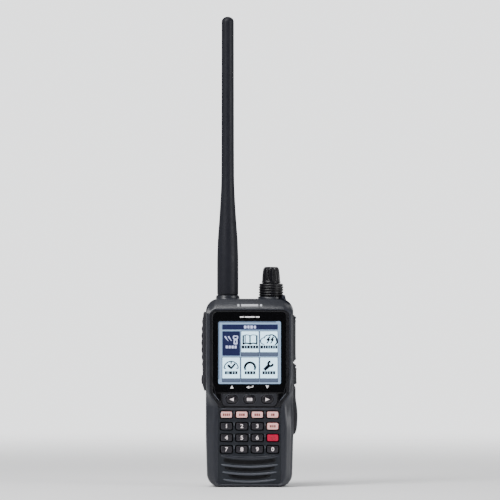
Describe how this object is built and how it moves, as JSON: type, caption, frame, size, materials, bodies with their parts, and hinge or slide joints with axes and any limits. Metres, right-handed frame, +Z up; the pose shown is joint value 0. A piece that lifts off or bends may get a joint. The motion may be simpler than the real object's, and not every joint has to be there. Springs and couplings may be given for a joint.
{
  "type": "handheld aviation radio",
  "caption": "Handheld airband radio with a square screen, keypad, top dial and ring, push-to-talk bar, jack covers, belt clip and a tall tapered antenna.",
  "frame": {"origin": "middle of the flat base, on the middle plane of the case's width and depth", "axes": "+Z up along the antenna, -Y out of the screen and keypad, +X to the right as seen from the front"},
  "size_m": [0.0684, 0.0439, 0.3333],
  "materials": {
    "case": "fine textured, matte",
    "seal": "matte",
    "window": "polished, black border",
    "lcd": "lit, satin",
    "light_metal": "satin",
    "trim": "satin",
    "board": "satin",
    "steel": "satin",
    "dark_part": "matte",
    "nickel": "nickel plated",
    "gold": "gold plated",
    "rubber": "matte",
    "knob": "satin",
    "cell": "wrapped",
    "nav_key": "satin",
    "pale_key": "satin",
    "dark_key": "satin",
    "red_key": "satin"
  },
  "bodies": {
    "housing": {"front_case": "case", "rear_case": "case", "case_gasket": "seal", "display_window": "window", "lcd_panel": "lcd", "lcd_frame": "light_metal", "nav_panel": "trim", "key_mat": "seal", "main_board": "board", "shield_can": "steel", "speaker": "dark_part", "microphone": "steel", "antenna_jack": "nickel", "antenna_collar": "case", "encoder_body": "steel", "encoder_nut": "nickel", "ptt_surround": "rubber", "side_switches": "dark_part", "audio_jacks": "dark_part", "power_jack": "dark_part", "side_pad": "rubber", "battery_pack": "case", "battery_cells": "cell", "battery_cover": "dark_part", "case_screws": "steel", "clip_bracket": "dark_part", "clip_pin": "steel", "clip_spring": "steel"},
    "antenna": {"antenna_whip": "rubber", "antenna_sleeve": "nickel", "antenna_pin": "gold"},
    "dial": {"dial_knob": "knob", "dial_shaft": "steel"},
    "ring": {"volume_ring": "knob", "volume_shaft": "steel"},
    "ptt": {"ptt_button": "rubber"},
    "monitor": {"monitor_key": "rubber"},
    "audio_flap": {"audio_cover": "rubber"},
    "power_flap": {"power_cover": "rubber"},
    "latch": {"battery_latch": "dark_part"},
    "clip": {"belt_clip": "dark_part"},
    "nav_left_cap": {"nav_left": "nav_key"},
    "nav_enter_cap": {"nav_enter": "nav_key"},
    "nav_right_cap": {"nav_right": "nav_key"},
    "soft_key_1_cap": {"soft_key_1": "pale_key"},
    "soft_key_2_cap": {"soft_key_2": "pale_key"},
    "soft_key_3_cap": {"soft_key_3": "pale_key"},
    "soft_key_4_cap": {"soft_key_4": "pale_key"},
    "key_1_cap": {"key_1": "dark_key"},
    "key_2_cap": {"key_2": "dark_key"},
    "key_3_cap": {"key_3": "dark_key"},
    "key_mode_cap": {"key_mode": "pale_key"},
    "key_4_cap": {"key_4": "dark_key"},
    "key_5_cap": {"key_5": "dark_key"},
    "key_6_cap": {"key_6": "dark_key"},
    "key_red_cap": {"key_red": "red_key"},
    "key_7_cap": {"key_7": "dark_key"},
    "key_8_cap": {"key_8": "dark_key"},
    "key_9_cap": {"key_9": "dark_key"},
    "key_0_cap": {"key_0": "dark_key"}
  },
  "joints": [
    {"name": "antenna_turn", "type": "hinge", "parent": "housing", "child": "antenna", "pos_m": [-0.0155, 0.0035, 0.139], "axis": [0, 0, 1], "range_deg": [0, 90]},
    {"name": "dial_turn", "type": "hinge", "parent": "housing", "child": "dial", "pos_m": [0.0153, 0.0035, 0.145], "axis": [0, 0, 1], "continuous": true},
    {"name": "volume_turn", "type": "hinge", "parent": "housing", "child": "ring", "pos_m": [0.0153, 0.0035, 0.139], "axis": [0, 0, 1], "range_deg": [-30, 240]},
    {"name": "ptt_press", "type": "slide", "parent": "housing", "child": "ptt", "axis": [1, 0, 0], "range_m": [0, 0.0012], "stiffness_N_per_m": 900, "springref_m": -0.0006},
    {"name": "monitor_press", "type": "slide", "parent": "housing", "child": "monitor", "axis": [1, 0, 0], "range_m": [0, 0.0012], "stiffness_N_per_m": 700, "springref_m": -0.0006},
    {"name": "audio_flap_swing", "type": "hinge", "parent": "housing", "child": "audio_flap", "pos_m": [0.03215, -0.0006, 0.11965], "axis": [0, -1, 0], "range_deg": [0, 120]},
    {"name": "power_flap_swing", "type": "hinge", "parent": "housing", "child": "power_flap", "pos_m": [0.03215, -0.0006, 0.08555], "axis": [0, -1, 0], "range_deg": [0, 100]},
    {"name": "latch_slide", "type": "slide", "parent": "housing", "child": "latch", "axis": [0, -1, 0], "range_m": [0, 0.0022], "stiffness_N_per_m": 500, "springref_m": -0.001},
    {"name": "clip_open", "type": "hinge", "parent": "housing", "child": "clip", "pos_m": [0, 0.023, 0.12], "axis": [1, 0, 0], "range_deg": [0, 16], "stiffness_Nm_per_rad": 0.3, "springref_deg": -11.46},
    {"name": "nav_left_press", "type": "slide", "parent": "housing", "child": "nav_left_cap", "axis": [0, 1, 0], "range_m": [0, 0.0007], "stiffness_N_per_m": 600, "springref_m": -0.0005},
    {"name": "nav_enter_press", "type": "slide", "parent": "housing", "child": "nav_enter_cap", "axis": [0, 1, 0], "range_m": [0, 0.0007], "stiffness_N_per_m": 600, "springref_m": -0.0005},
    {"name": "nav_right_press", "type": "slide", "parent": "housing", "child": "nav_right_cap", "axis": [0, 1, 0], "range_m": [0, 0.0007], "stiffness_N_per_m": 600, "springref_m": -0.0005},
    {"name": "soft_key_1_press", "type": "slide", "parent": "housing", "child": "soft_key_1_cap", "axis": [0, 1, 0], "range_m": [0, 0.0007], "stiffness_N_per_m": 600, "springref_m": -0.0005},
    {"name": "soft_key_2_press", "type": "slide", "parent": "housing", "child": "soft_key_2_cap", "axis": [0, 1, 0], "range_m": [0, 0.0007], "stiffness_N_per_m": 600, "springref_m": -0.0005},
    {"name": "soft_key_3_press", "type": "slide", "parent": "housing", "child": "soft_key_3_cap", "axis": [0, 1, 0], "range_m": [0, 0.0007], "stiffness_N_per_m": 600, "springref_m": -0.0005},
    {"name": "soft_key_4_press", "type": "slide", "parent": "housing", "child": "soft_key_4_cap", "axis": [0, 1, 0], "range_m": [0, 0.0007], "stiffness_N_per_m": 600, "springref_m": -0.0005},
    {"name": "key_1_press", "type": "slide", "parent": "housing", "child": "key_1_cap", "axis": [0, 1, 0], "range_m": [0, 0.0007], "stiffness_N_per_m": 600, "springref_m": -0.0005},
    {"name": "key_2_press", "type": "slide", "parent": "housing", "child": "key_2_cap", "axis": [0, 1, 0], "range_m": [0, 0.0007], "stiffness_N_per_m": 600, "springref_m": -0.0005},
    {"name": "key_3_press", "type": "slide", "parent": "housing", "child": "key_3_cap", "axis": [0, 1, 0], "range_m": [0, 0.0007], "stiffness_N_per_m": 600, "springref_m": -0.0005},
    {"name": "key_mode_press", "type": "slide", "parent": "housing", "child": "key_mode_cap", "axis": [0, 1, 0], "range_m": [0, 0.0007], "stiffness_N_per_m": 600, "springref_m": -0.0005},
    {"name": "key_4_press", "type": "slide", "parent": "housing", "child": "key_4_cap", "axis": [0, 1, 0], "range_m": [0, 0.0007], "stiffness_N_per_m": 600, "springref_m": -0.0005},
    {"name": "key_5_press", "type": "slide", "parent": "housing", "child": "key_5_cap", "axis": [0, 1, 0], "range_m": [0, 0.0007], "stiffness_N_per_m": 600, "springref_m": -0.0005},
    {"name": "key_6_press", "type": "slide", "parent": "housing", "child": "key_6_cap", "axis": [0, 1, 0], "range_m": [0, 0.0007], "stiffness_N_per_m": 600, "springref_m": -0.0005},
    {"name": "key_red_press", "type": "slide", "parent": "housing", "child": "key_red_cap", "axis": [0, 1, 0], "range_m": [0, 0.0007], "stiffness_N_per_m": 600, "springref_m": -0.0005},
    {"name": "key_7_press", "type": "slide", "parent": "housing", "child": "key_7_cap", "axis": [0, 1, 0], "range_m": [0, 0.0007], "stiffness_N_per_m": 600, "springref_m": -0.0005},
    {"name": "key_8_press", "type": "slide", "parent": "housing", "child": "key_8_cap", "axis": [0, 1, 0], "range_m": [0, 0.0007], "stiffness_N_per_m": 600, "springref_m": -0.0005},
    {"name": "key_9_press", "type": "slide", "parent": "housing", "child": "key_9_cap", "axis": [0, 1, 0], "range_m": [0, 0.0007], "stiffness_N_per_m": 600, "springref_m": -0.0005},
    {"name": "key_0_press", "type": "slide", "parent": "housing", "child": "key_0_cap", "axis": [0, 1, 0], "range_m": [0, 0.0007], "stiffness_N_per_m": 600, "springref_m": -0.0005}
  ]
}
